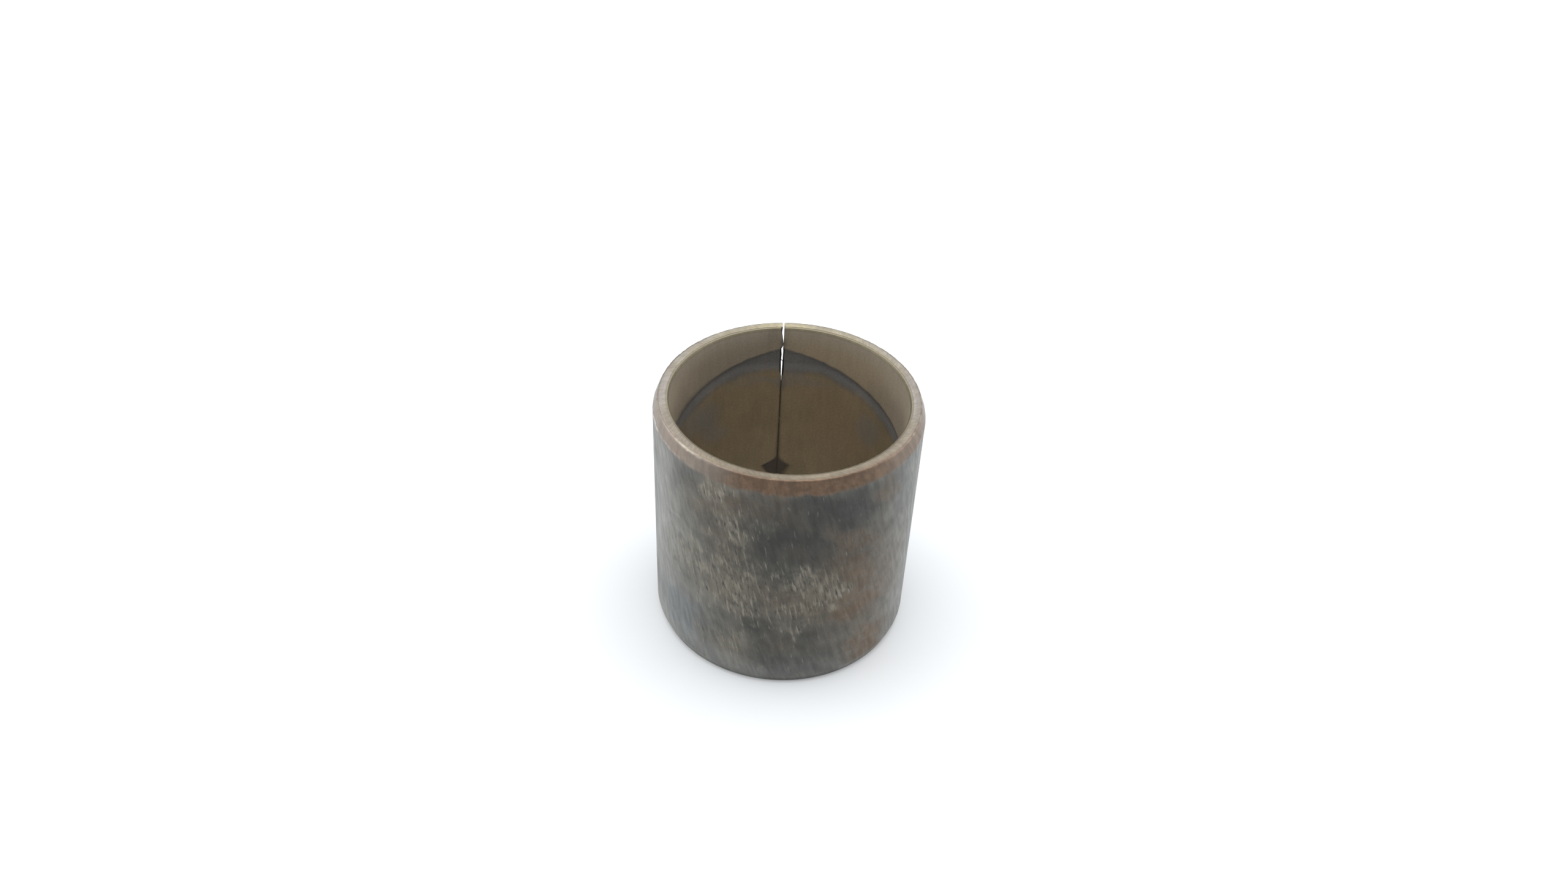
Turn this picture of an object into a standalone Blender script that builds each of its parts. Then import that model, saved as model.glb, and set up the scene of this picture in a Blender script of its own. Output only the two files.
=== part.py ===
"""Split sleeve bushing: a rolled steel backing lined with sintered bronze.

A flat bimetal strip is rolled into a sleeve, so both layers are open along one straight butt seam.
The bore carries a pressed figure-eight oil groove, which peaks at the seam near both ends.
Frame: metres, +Z along the bore, origin at the centre of the bottom end, seam towards +Y.
"""

import math

import bpy
import bmesh

# Driving dimensions (metres and degrees)
BORE_RADIUS = 0.0110
OUTER_RADIUS = 0.0125
LENGTH = 0.0250

LINING_THICKNESS = 0.00030
BOND_GAP = 0.00003
LINING_END_SETBACK = 0.00005
BORE_EDGE_BREAK_WIDTH = 0.00010
BORE_EDGE_BREAK_HEIGHT = 0.00015

CHAMFER_ANGLE = math.radians(20.0)
TOP_CHAMFER_LENGTH = 0.0012
BOTTOM_CHAMFER_LENGTH = 0.0010

# The butt seam: (height, half of the opening's width), wide at the top and nearly shut below
SEAM_STATIONS = (
    (0.0000, 0.00005),
    (0.0190, 0.00007),
    (LENGTH, 0.00020),
)
SEAM_OVERRUN = 0.0010

GROOVE_WIDTH = 0.00144
GROOVE_DEPTH = 0.00018
GROOVE_END_INSET = 0.0031
GROOVE_RUN_PAST_SEAM = math.radians(1.5)
LINK_INSET = 0.0043
LINK_HALF_ANGLE = math.radians(20.0)

# The oil pocket over the seam, just above the lower groove: a kite with its long tip downwards
POCKET_DEPTH = 0.00018
POCKET_HALF_WIDTH = 0.00155
POCKET_TOP = 0.00975
POCKET_MIDDLE = 0.00760
POCKET_BOTTOM = 0.00490

RING_STEPS = 96
GROOVE_STEPS_PER_TURN = 72
GROOVE_TUBE_RESOLUTION = 10
MERGE_DISTANCE = 0.000001
SHARP_ANGLE = math.radians(12.0)

LINING_OUTER_RADIUS = BORE_RADIUS + LINING_THICKNESS - BOND_GAP
BACKING_INNER_RADIUS = BORE_RADIUS + LINING_THICKNESS
GROOVE_TUBE_RADIUS = ((GROOVE_WIDTH / 2) ** 2 + GROOVE_DEPTH**2) / (2 * GROOVE_DEPTH)
GROOVE_PATH_RADIUS = BORE_RADIUS + GROOVE_DEPTH - GROOVE_TUBE_RADIUS


def clear_scene():
    for obj in list(bpy.data.objects):
        bpy.data.objects.remove(obj, do_unlink=True)


def new_collection(name):
    collection = bpy.data.collections.new(name)
    bpy.context.scene.collection.children.link(collection)
    return collection


def make_material(name, color, roughness, metallic):
    material = bpy.data.materials.new(name)
    material.use_nodes = True
    shader = material.node_tree.nodes["Principled BSDF"]
    shader.inputs["Base Color"].default_value = (*color, 1.0)
    shader.inputs["Roughness"].default_value = roughness
    shader.inputs["Metallic"].default_value = metallic
    material.diffuse_color = (*color, 1.0)
    return material


def mark_as_cutter(obj):
    obj.hide_render = True
    obj.display_type = "WIRE"


def turned_ring(name, profile, collection):
    """Turn a closed (radius, height) profile about Z; it runs down the outside and up the inside."""
    mesh = bpy.data.meshes.new(name)
    profile_mesh = bmesh.new()
    points = [profile_mesh.verts.new((radius, 0.0, height)) for radius, height in profile]
    for start, end in zip(points, points[1:] + points[:1]):
        profile_mesh.edges.new((start, end))
    profile_mesh.to_mesh(mesh)
    profile_mesh.free()

    ring = bpy.data.objects.new(name, mesh)
    collection.objects.link(ring)
    screw = ring.modifiers.new("Turn", "SCREW")
    screw.axis = "Z"
    screw.angle = 2 * math.pi
    screw.steps = RING_STEPS
    screw.render_steps = RING_STEPS
    screw.use_merge_vertices = True
    screw.merge_threshold = MERGE_DISTANCE
    return ring


def curve_to_mesh(curve_object):
    """Replace a curve object with a mesh object in the same place, with its loose caps welded."""
    bpy.context.view_layer.update()
    evaluated = curve_object.evaluated_get(bpy.context.evaluated_depsgraph_get())
    mesh = bpy.data.meshes.new_from_object(evaluated)
    welded = bmesh.new()
    welded.from_mesh(mesh)
    bmesh.ops.remove_doubles(welded, verts=welded.verts, dist=MERGE_DISTANCE)
    bmesh.ops.recalc_face_normals(welded, faces=welded.faces)
    welded.to_mesh(mesh)
    welded.free()

    name = curve_object.name
    collection = curve_object.users_collection[0]
    matrix = curve_object.matrix_world.copy()
    bpy.data.objects.remove(curve_object, do_unlink=True)
    mesh_object = bpy.data.objects.new(name, mesh)
    mesh_object.matrix_world = matrix
    collection.objects.link(mesh_object)
    return mesh_object


def radial_prism(name, outline, inner_y, outer_y, collection):
    """A prism over an (x, z) outline, reaching from inner_y to outer_y through the wall at the seam."""
    curve = bpy.data.curves.new(name, "CURVE")
    curve.dimensions = "2D"
    curve.fill_mode = "BOTH"
    curve.extrude = (outer_y - inner_y) / 2
    spline = curve.splines.new("POLY")
    spline.points.add(len(outline) - 1)
    for point, (x, z) in zip(spline.points, outline):
        point.co = (x, z, 0.0, 1.0)
    spline.use_cyclic_u = True

    prism = bpy.data.objects.new(name, curve)
    prism.location = (0.0, (inner_y + outer_y) / 2, 0.0)
    prism.rotation_euler = (math.pi / 2, 0.0, 0.0)
    collection.objects.link(prism)
    return curve_to_mesh(prism)


def groove_cutter(name, start_angle, end_angle, height_at, collection):
    """A tube run round inside the bore, which cuts a shallow rounded groove. Angle 0 is the seam."""
    curve = bpy.data.curves.new(name, "CURVE")
    curve.dimensions = "3D"
    curve.bevel_depth = GROOVE_TUBE_RADIUS
    curve.bevel_resolution = GROOVE_TUBE_RESOLUTION
    curve.use_fill_caps = True
    turn = abs(end_angle - start_angle) / (2 * math.pi)
    steps = max(4, round(GROOVE_STEPS_PER_TURN * turn))
    spline = curve.splines.new("POLY")
    spline.points.add(steps)
    for index, point in enumerate(spline.points):
        angle = start_angle + (end_angle - start_angle) * index / steps
        x = GROOVE_PATH_RADIUS * math.sin(angle)
        y = GROOVE_PATH_RADIUS * math.cos(angle)
        point.co = (x, y, height_at(angle), 1.0)

    tube = bpy.data.objects.new(name, curve)
    collection.objects.link(tube)
    return curve_to_mesh(tube)


def cut(target, cutter, operation="DIFFERENCE"):
    boolean = target.modifiers.new(cutter.name, "BOOLEAN")
    boolean.operation = operation
    boolean.solver = "EXACT"
    boolean.object = cutter


def apply_and_shade(obj, material):
    """Bake the modifiers into the mesh, shade the turned faces smooth and keep the real edges sharp."""
    bpy.context.view_layer.update()
    evaluated = obj.evaluated_get(bpy.context.evaluated_depsgraph_get())
    mesh = bpy.data.meshes.new_from_object(evaluated)
    mesh.name = obj.name
    obj.modifiers.clear()
    obj.data = mesh
    mesh.shade_smooth()
    mesh.set_sharp_from_angle(angle=SHARP_ANGLE)
    mesh.materials.clear()
    mesh.materials.append(material)


def seam_cutter(collection):
    """The wedge-shaped opening between the two butted edges of the strip."""
    right_side = [(half_width, height) for height, half_width in SEAM_STATIONS]
    right_side.insert(0, (SEAM_STATIONS[0][1], -SEAM_OVERRUN))
    right_side.append((SEAM_STATIONS[-1][1], LENGTH + SEAM_OVERRUN))
    left_side = [(-x, z) for x, z in reversed(right_side)]
    inner_y = BORE_RADIUS / 2
    outer_y = OUTER_RADIUS + SEAM_OVERRUN
    return radial_prism("seam_cutter", right_side + left_side, inner_y, outer_y, collection)


def oil_groove_cutters(collection):
    """Two crossing helices, joined near each end by a short level groove across the seam."""
    top = LENGTH - GROOVE_END_INSET
    pitch = LENGTH - 2 * GROOVE_END_INSET
    start = -GROOVE_RUN_PAST_SEAM
    end = 2 * math.pi + GROOVE_RUN_PAST_SEAM
    cutters = []
    for name, side in (("groove_clockwise_cutter", 1), ("groove_anticlockwise_cutter", -1)):

        def helix_height(angle):
            return top - pitch * abs(angle) / (2 * math.pi)

        cutters.append(groove_cutter(name, side * start, side * end, helix_height, collection))
    for name, height in (
        ("top_link_cutter", LENGTH - LINK_INSET),
        ("bottom_link_cutter", LINK_INSET),
    ):

        def link_height(angle, level=height):
            return level

        cutters.append(
            groove_cutter(name, -LINK_HALF_ANGLE, LINK_HALF_ANGLE, link_height, collection)
        )
    return cutters


def pocket_cutter(collection):
    """A kite-shaped pocket of even depth: a radial prism trimmed to a cylinder in the wall."""
    outline = [
        (0.0, POCKET_TOP),
        (-POCKET_HALF_WIDTH, POCKET_MIDDLE),
        (0.0, POCKET_BOTTOM),
        (POCKET_HALF_WIDTH, POCKET_MIDDLE),
    ]
    pocket = radial_prism("pocket_cutter", outline, BORE_RADIUS / 2, OUTER_RADIUS, collection)
    bpy.ops.mesh.primitive_cylinder_add(
        vertices=RING_STEPS,
        radius=BORE_RADIUS + POCKET_DEPTH,
        depth=LENGTH,
        location=(0.0, 0.0, LENGTH / 2),
    )
    trim = bpy.context.object
    trim.name = "pocket_trim"
    for owner in list(trim.users_collection):
        owner.objects.unlink(trim)
    collection.objects.link(trim)
    mark_as_cutter(trim)
    cut(pocket, trim, "INTERSECT")
    return pocket


def steel_backing(collection, seam):
    """The outer shell, with long 20-degree lead-in chamfers on both ends."""
    top_face_radius = OUTER_RADIUS - TOP_CHAMFER_LENGTH * math.tan(CHAMFER_ANGLE)
    bottom_face_radius = OUTER_RADIUS - BOTTOM_CHAMFER_LENGTH * math.tan(CHAMFER_ANGLE)
    profile = [
        (top_face_radius, LENGTH),
        (OUTER_RADIUS, LENGTH - TOP_CHAMFER_LENGTH),
        (OUTER_RADIUS, BOTTOM_CHAMFER_LENGTH),
        (bottom_face_radius, 0.0),
        (BACKING_INNER_RADIUS, 0.0),
        (BACKING_INNER_RADIUS, LENGTH),
    ]
    backing = turned_ring("steel_backing", profile, collection)
    cut(backing, seam)
    apply_and_shade(backing, make_material("oxidised_steel", (0.14, 0.14, 0.14), 0.48, 0.9))


def bronze_lining(collection, seam):
    """The bearing layer, with broken edges at both ends of the bore and the pressed oil groove."""
    top = LENGTH - LINING_END_SETBACK
    bottom = LINING_END_SETBACK
    edge_radius = BORE_RADIUS + BORE_EDGE_BREAK_WIDTH
    profile = [
        (LINING_OUTER_RADIUS, top),
        (LINING_OUTER_RADIUS, bottom),
        (edge_radius, bottom),
        (BORE_RADIUS, bottom + BORE_EDGE_BREAK_HEIGHT),
        (BORE_RADIUS, top - BORE_EDGE_BREAK_HEIGHT),
        (edge_radius, top),
    ]
    lining = turned_ring("bronze_lining", profile, collection)
    cut(lining, seam)
    return lining


def main():
    clear_scene()
    bushing = new_collection("split_sleeve_bushing")
    cutters = new_collection("cutters")

    seam = seam_cutter(cutters)
    mark_as_cutter(seam)
    steel_backing(bushing, seam)

    lining = bronze_lining(bushing, seam)
    for cutter in [*oil_groove_cutters(cutters), pocket_cutter(cutters)]:
        mark_as_cutter(cutter)
        cut(lining, cutter)
    apply_and_shade(lining, make_material("sintered_bronze", (0.36, 0.27, 0.15), 0.42, 0.85))


main()
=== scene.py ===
"""Looks of a split steel-backed bronze sleeve bushing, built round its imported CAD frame.

Two fine sleeves replace the CAD nodes: the rolled steel shell and the bronze lining with its oil grooves.
Both are strips rolled round Z that meet in a butt seam at +Y. Spots below are laid out by the angle from the
seam, in degrees, clockwise from above (so +X is at 90), and by height in millimetres. The stations of the
seam and the burrs are in millimetres from the seam line.
"""

import math

import bmesh
import bpy
import numpy as np
from mathutils import Matrix, Vector


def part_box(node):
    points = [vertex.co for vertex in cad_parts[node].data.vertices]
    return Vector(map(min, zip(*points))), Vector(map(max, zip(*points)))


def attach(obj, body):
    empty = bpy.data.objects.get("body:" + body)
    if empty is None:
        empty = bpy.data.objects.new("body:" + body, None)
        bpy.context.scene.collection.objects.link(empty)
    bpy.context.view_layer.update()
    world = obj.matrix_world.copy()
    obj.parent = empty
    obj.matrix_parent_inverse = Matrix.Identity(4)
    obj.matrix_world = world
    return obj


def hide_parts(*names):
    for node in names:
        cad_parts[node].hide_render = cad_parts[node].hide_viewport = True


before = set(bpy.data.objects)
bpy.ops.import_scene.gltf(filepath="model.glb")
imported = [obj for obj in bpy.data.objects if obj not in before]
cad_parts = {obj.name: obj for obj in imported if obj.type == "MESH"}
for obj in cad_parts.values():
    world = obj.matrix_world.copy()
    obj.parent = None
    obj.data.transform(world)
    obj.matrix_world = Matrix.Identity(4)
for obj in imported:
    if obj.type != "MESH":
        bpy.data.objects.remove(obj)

MM = 0.001
TURN = 2 * math.pi
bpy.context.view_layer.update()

# ---------------------------------------------------------------- sizes, from the CAD frame
_, shell_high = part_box("steel_backing")
lining_low, lining_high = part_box("bronze_lining")


def smallest_radius(node):
    """The distance from the axis to the CAD node's nearest vertex."""
    return min(math.hypot(v.co.x, v.co.y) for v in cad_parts[node].data.vertices)


LENGTH = shell_high.z
OUTER_RADIUS = shell_high.x
LINING_TOP = lining_high.z
LINING_BOTTOM = lining_low.z
SHELL_INNER_RADIUS = smallest_radius("steel_backing")
BORE_RADIUS = smallest_radius("bronze_lining")
LINING_OUTER_RADIUS = SHELL_INNER_RADIUS + 0.02 * MM

CHAMFER_ANGLE = math.radians(20.0)
TOP_CHAMFER = 1.20 * MM
BOTTOM_CHAMFER = 1.00 * MM
TOP_FACE_RADIUS = OUTER_RADIUS - TOP_CHAMFER * math.tan(CHAMFER_ANGLE)
BOTTOM_FACE_RADIUS = OUTER_RADIUS - BOTTOM_CHAMFER * math.tan(CHAMFER_ANGLE)
EDGE_BREAK_WIDTH = 0.10 * MM
EDGE_BREAK_HEIGHT = 0.15 * MM

GROOVE_WIDTH = 1.44 * MM
GROOVE_DEPTH = 0.18 * MM
GROOVE_END_INSET = 3.1 * MM
LINK_INSET = 4.3 * MM
POCKET_DEPTH = 0.16 * MM
POCKET_LEFT, POCKET_RIGHT = 1.85 * MM, 1.40 * MM
POCKET_TOP, POCKET_MIDDLE, POCKET_BOTTOM = 9.75 * MM, 7.60 * MM, 4.90 * MM

# The seam's two edges: (height, -X edge, +X edge), all in millimetres from the seam line
SHELL_SEAM = (
    (0.0, -0.05, 0.05),
    (16.5, -0.05, 0.06),
    (17.6, -0.04, 0.08),
    (18.0, -0.03, 0.18),
    (18.4, -0.05, 0.23),
    (19.2, -0.06, 0.235),
    (19.45, -0.09, 0.225),
    (20.0, -0.10, 0.225),
    (20.4, -0.11, 0.235),
    (20.8, -0.10, 0.22),
    (21.2, -0.06, 0.20),
    (21.45, -0.09, 0.18),
    (21.7, -0.03, 0.17),
    (22.0, -0.08, 0.18),
    (22.4, -0.13, 0.20),
    (23.3, -0.11, 0.21),
    (24.2, -0.09, 0.19),
    (24.7, -0.07, 0.18),
    (25.0, -0.04, 0.17),
)
LINING_SEAM = (
    (0.0, -0.02, 0.02),
    (6.0, -0.03, 0.01),
    (8.5, -0.01, 0.03),
    (11.0, -0.02, 0.02),
    (13.2, -0.01, 0.03),
    (15.0, -0.03, 0.01),
    (17.0, -0.02, 0.02),
    (18.9, -0.01, 0.03),
    (19.2, 0.00, 0.08),
    (19.45, -0.10, 0.17),
    (19.7, -0.19, 0.19),
    (20.3, -0.22, 0.21),
    (21.1, -0.22, 0.21),
    (21.5, -0.20, 0.20),
    (22.0, -0.23, 0.22),
    (22.5, -0.24, 0.20),
    (22.75, -0.20, 0.14),
    (22.90, 0.05, 0.11),
    (23.2, 0.075, 0.095),
    (23.5, 0.055, 0.095),
    (23.9, -0.03, 0.13),
    (24.2, -0.12, 0.15),
    (24.4, -0.17, 0.155),
    (25.0, -0.20, 0.155),
)
# Burrs: (how far right of the seam line, height, depth behind the bore, half thickness), all in millimetres
SLIT_BURR = (
    (-0.26, 21.28, 0.30, 0.030),
    (-0.10, 21.16, 0.26, 0.045),
    (0.03, 20.98, 0.24, 0.036),
    (0.14, 20.84, 0.26, 0.045),
    (0.27, 20.74, 0.30, 0.030),
)
RIM_BURR = (
    (-0.86, 22.32, 0.06, 0.020),
    (-0.76, 22.14, 0.07, 0.045),
    (-0.66, 21.96, 0.12, 0.040),
    (-0.58, 21.84, 0.16, 0.020),
)
UPPER_CURL = (
    (0.05, 18.82, 0.00, 0.012),
    (0.09, 18.60, -0.03, 0.030),
    (0.06, 18.38, -0.03, 0.032),
    (0.00, 18.20, 0.00, 0.012),
)
LOWER_CURL = (
    (-0.06, 14.12, 0.00, 0.012),
    (0.00, 13.96, -0.05, 0.034),
    (0.07, 13.82, -0.04, 0.034),
    (0.10, 13.62, 0.00, 0.012),
)
# The columns of points next to each seam edge, in millimetres from it
EDGE_COLUMNS = (0.0, 0.03, 0.07, 0.12, 0.19)
# The heights between which the seam is open in the bore, where the mesh is finer
OPEN_FROM, OPEN_TO = 19.0 * MM, 24.1 * MM
SHELL_COLUMNS, LINING_COLUMNS = 428, 400
SHARP_ANGLE = math.radians(32.0)
FILLET_POINTS = 4
BURR_SIDES = 6
BURR_FLATNESS = 0.7

# How uneven the shell is: slow waves, dents, a wavy chamfer edge and nicks along the top's outer edge
ROLLED_WAVE = 0.007 * MM
SKIN_DENT = 0.006 * MM
SKIN_FADE = 0.4 * MM
FOOT_WAVE = 0.07 * MM
FOOT_REACH = 0.30 * MM
NICK_DROP, NICK_DENT = 0.035 * MM, 0.020 * MM
NICK_REACH = 0.07 * MM

# How uneven the lining is: edges rolled outward along the closed seam, and beads along the top edge
ROLLED_EDGE = 0.03 * MM
ROLLED_WIDTH = 0.12 * MM
BEAD = 0.018 * MM
BEAD_REACH = 0.12 * MM

# The painted highlight along the left of the chamfer's foot, and how far up the shell the painted light on
# its lower end reaches
FOOT_HIGHLIGHT_RISE, FOOT_HIGHLIGHT_WIDTH = 0.03 * MM, 0.08 * MM
FOOT_HIGHLIGHT_ANGLE, FOOT_HIGHLIGHT_SPREAD = math.radians(262), math.radians(22)
LOW_PAINTED_LIGHT_TOP, LOW_PAINTED_LIGHT_BOTTOM = 8.0 * MM, 0.5 * MM

# The groove's stain in the bore: how soft its edges are, and how far its left arm spreads and blurs
STAIN_WANDER, STAIN_DRIFT = 0.05 * MM, 0.16 * MM
STAIN_SPREAD, STAIN_BLUR = 0.45 * MM, 0.24 * MM
STAIN_OUTSIDE, STAIN_INSIDE = -0.10 * MM, 0.18 * MM
STAIN_FOOT_FADE, STAIN_FOOT_RISE = 0.65 * MM, 0.50 * MM


# ---------------------------------------------------------------- small maths helpers
def smoothstep(low, high, value):
    t = np.clip((value - low) / (high - low), 0.0, 1.0)
    return t * t * (3.0 - 2.0 * t)


def bell(offset, reach):
    """1 at no offset, falling smoothly to about a third at the reach."""
    return np.exp(-((offset / reach) ** 2))


def wrapped(angle):
    """The angle from the seam, from -pi to pi."""
    return (angle + math.pi) % TURN - math.pi


def ripples(angle, height, seed, size, waves=18):
    """Smooth repeatable noise over the sleeve, mostly between -1 and 1, with blobs of about that size."""
    random = np.random.default_rng(seed)
    total = np.zeros_like(angle)
    for _ in range(waves):
        heading = random.uniform(0, math.pi)
        steepness = random.uniform(0.6, 1.6) * math.pi / size
        order = round(steepness * math.cos(heading) * OUTER_RADIUS)
        climb = steepness * math.sin(heading)
        total += np.sin(order * angle + climb * height + random.uniform(0, TURN))
    return total / math.sqrt(waves / 2) / 1.5


def spots(angle, height, entries, seed=0, warp=0.0, warp_size=2.0, steepness=1.5):
    """Soft patches, each (angle, height, half size round, half size up, lean, strength), joined together.

    Lean is in degrees and turns a patch's upright axis toward the left, seen from outside. Warp is how far,
    in millimetres, ripples of about warp_size push the outlines about. A higher steepness ends them sharper.
    """
    if warp:
        angle = angle + ripples(angle, height, seed, warp_size * MM) * warp * MM / OUTER_RADIUS
        height = height + ripples(angle, height, seed + 1, warp_size * MM) * warp * MM
    clear = np.ones_like(angle)
    for degrees, level, half_round, half_up, lean, strength in entries:
        across = -wrapped(angle - math.radians(degrees)) * OUTER_RADIUS / MM
        up = height / MM - level
        turn = math.radians(lean)
        along = up * math.cos(turn) - across * math.sin(turn)
        beside = across * math.cos(turn) + up * math.sin(turn)
        reach = (beside / half_round) ** 2 + (along / half_up) ** 2
        clear *= 1.0 - strength * np.exp(-(reach**steepness))
    return 1.0 - clear


def scattered(seed, count, low, high, sizes, lean, strength):
    """Patches like spots' entries, thrown at random over the side the photograph doesn't show."""
    random = np.random.default_rng(seed)
    entries = []
    for _ in range(count):
        entries.append((
            random.uniform(low, high),
            random.uniform(0.8, 24.0),
            random.uniform(*sizes),
            random.uniform(*sizes) * 1.4,
            random.uniform(*lean),
            random.uniform(*strength),
        ))
    return tuple(entries)


# ---------------------------------------------------------------- the sleeves' meshes
def fillet(corner, before, after, size, count):
    """Points of a rounded corner that starts and ends at size from the corner."""
    corner, before, after = (np.array(p, float) for p in (corner, before, after))
    start = corner + (before - corner) / np.linalg.norm(before - corner) * size
    end = corner + (after - corner) / np.linalg.norm(after - corner) * size
    points = []
    for t in np.linspace(0.0, 1.0, count):
        points.append((1 - t) ** 2 * start + 2 * t * (1 - t) * corner + t * t * end)
    return points


def outline_points(corners):
    """A closed (radius, height) outline from corners of (radius, height, fillet size, spacing, part).

    Spacing is the distance between points along the side that follows the corner, and part is the
    material slot of that side. Returns the points and the slot of the side after each point.
    """
    rounded = []
    for index, (radius, height, size, _, _) in enumerate(corners):
        before = corners[index - 1][:2]
        after = corners[(index + 1) % len(corners)][:2]
        if size:
            rounded.append(fillet((radius, height), before, after, size, FILLET_POINTS))
        else:
            rounded.append([np.array((radius, height))])
    points, parts = [], []
    for index, (_, _, _, spacing, part) in enumerate(corners):
        arc = rounded[index]
        points += arc
        parts += [part] * len(arc)
        start, end = arc[-1], rounded[(index + 1) % len(corners)][0]
        steps = max(1, round(np.linalg.norm(end - start) / spacing))
        for step in range(1, steps):
            points.append(start + (end - start) * step / steps)
            parts.append(part)
    return np.array(points), parts


def sleeve(name, corners, seam, around, seam_part, shape):
    """Roll an outline round Z from one seam edge to the other, and close both ends.

    shape(angle, radius, height) returns the displaced radius and height of every point.
    """
    outline, parts = outline_points(corners)
    count = len(outline)
    levels = [level for level, _, _ in seam]
    left_edge = np.interp(outline[:, 1] / MM, levels, [left for _, left, _ in seam]) * MM
    right_edge = np.interp(outline[:, 1] / MM, levels, [right for _, _, right in seam]) * MM
    first = np.arcsin(right_edge / outline[:, 0])
    last = TURN + np.arcsin(left_edge / outline[:, 0])
    near = np.array(EDGE_COLUMNS) * MM / (TURN * OUTER_RADIUS)
    middle = np.linspace(near[-1], 1.0 - near[-1], around - 2 * len(near) + 2)
    share = np.concatenate([near[:-1], middle, (1.0 - near[:-1])[::-1]])[:, None]
    around = len(share)
    angle = first + share * (last - first)
    radius = np.broadcast_to(outline[:, 0], angle.shape).copy()
    height = np.broadcast_to(outline[:, 1], angle.shape).copy()
    radius, height = shape(angle, radius, height)

    positions = np.stack([radius * np.sin(angle), radius * np.cos(angle), height], -1).reshape(-1, 3)
    faces, slots = [], []
    for ring in range(around - 1):
        here, there = ring * count, (ring + 1) * count
        for point in range(count):
            following = (point + 1) % count
            faces.append((here + point, here + following, there + following, there + point))
            slots.append(parts[point])
    end = (around - 1) * count
    faces.append(tuple(range(count - 1, -1, -1)))
    faces.append(tuple(range(end, end + count)))
    slots += [seam_part, seam_part]

    mesh = bpy.data.meshes.new(name)
    mesh.from_pydata(positions.tolist(), [], faces)
    mesh.polygons.foreach_set("material_index", slots)
    tidy = bmesh.new()
    tidy.from_mesh(mesh)
    bmesh.ops.recalc_face_normals(tidy, faces=tidy.faces)
    tidy.to_mesh(mesh)
    tidy.free()
    mesh.shade_smooth()
    mesh.set_sharp_from_angle(angle=SHARP_ANGLE)
    piece = bpy.data.objects.new(name, mesh)
    bpy.context.scene.collection.objects.link(piece)
    return piece, angle, radius, height


def add_burr(piece, stations, part):
    """Join a thin closed sliver, thickest in the middle, that follows the stations."""
    mesh = bmesh.new()
    mesh.from_mesh(piece.data)
    rings = []
    for index, (right, level, depth, half) in enumerate(stations):
        before = stations[max(index - 1, 0)]
        after = stations[min(index + 1, len(stations) - 1)]
        heading = Vector((after[0] - before[0], 0.0, after[1] - before[1])).normalized()
        beside = Vector((heading.z, 0.0, -heading.x))
        distance = BORE_RADIUS / MM + depth
        middle = Vector((right, math.sqrt(distance**2 - right**2), level))
        ring = []
        for side in range(BURR_SIDES):
            turn = TURN * (side + 0.5) / BURR_SIDES
            offset = beside * math.cos(turn) + Vector((0.0, 1.0, 0.0)) * math.sin(turn) * BURR_FLATNESS
            ring.append(mesh.verts.new((middle + offset * half) * MM))
        rings.append(ring)
    faces = [mesh.faces.new(rings[0]), mesh.faces.new(rings[-1])]
    for ring, following in zip(rings, rings[1:]):
        for side in range(BURR_SIDES):
            corner = (side + 1) % BURR_SIDES
            faces.append(mesh.faces.new((ring[side], ring[corner], following[corner], following[side])))
    for face in faces:
        face.material_index = part
        face.smooth = True
    bmesh.ops.recalc_face_normals(mesh, faces=faces)
    mesh.to_mesh(piece.data)
    mesh.free()


def set_attribute(piece, name, values):
    """Store one number for each vertex, for the piece's materials to read."""
    attribute = piece.data.attributes.new(name, "FLOAT", "POINT")
    attribute.data.foreach_set("value", np.asarray(values, np.float32).ravel())


# ---------------------------------------------------------------- where the marks are
# Every row is (angle, height, half size round, half size up, lean, strength), as spots() takes them
DARK_OXIDE = (
    (166, 21.2, 4.7, 2.9, 0, 1.0),
    (180, 18.4, 4.2, 3.4, 15, 1.0),
    (187, 14.8, 3.0, 3.0, 10, 0.95),
    (170, 16.4, 3.4, 2.4, 20, 0.9),
    (193, 20.6, 2.6, 3.2, 15, 0.8),
    (148, 20.6, 2.4, 3.0, 0, 0.35),
    (178, 22.0, 5.4, 1.7, 0, 0.50),
    (194, 7.4, 1.6, 2.6, 10, 0.85),
    (178, 6.2, 3.0, 1.2, 0, 0.6),
    (172, 3.0, 5.4, 2.6, 0, 0.65),
    (190, 3.6, 2.6, 1.8, 0, 0.5),
    (206, 15.4, 2.0, 2.6, 25, 0.55),
    (214, 18.6, 1.6, 3.4, 20, 0.4),
    (228, 22.4, 2.4, 2.0, 20, 0.5),
    (140, 22.4, 1.2, 1.2, 0, 0.5),
    (160, 6.6, 2.6, 1.4, 0, 0.4),
    (174, 17.5, 6.8, 7.0, 0, 0.40),
    (192, 12.0, 3.0, 6.0, 10, 0.35),
    (180, 9.5, 6.0, 3.0, 0, 0.30),
    (186, 14.0, 5.0, 9.0, 0, 0.25),
    (166, 21.5, 4.0, 2.2, 0, 0.30),
    (153, 14.0, 2.6, 4.5, 10, 0.25),
    (163, 12.4, 2.8, 3.2, 0, 0.42),
    (207, 21.6, 2.4, 2.4, 0, 0.25),
    (262, 15.0, 1.4, 4.5, 0, 0.35),
    (126, 20.0, 3.0, 4.0, 0, 0.12),
    (206, 19.5, 3.0, 4.5, 10, 0.30),
    (235.5, 10.8, 0.42, 0.36, 0, 0.95),
)
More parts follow.
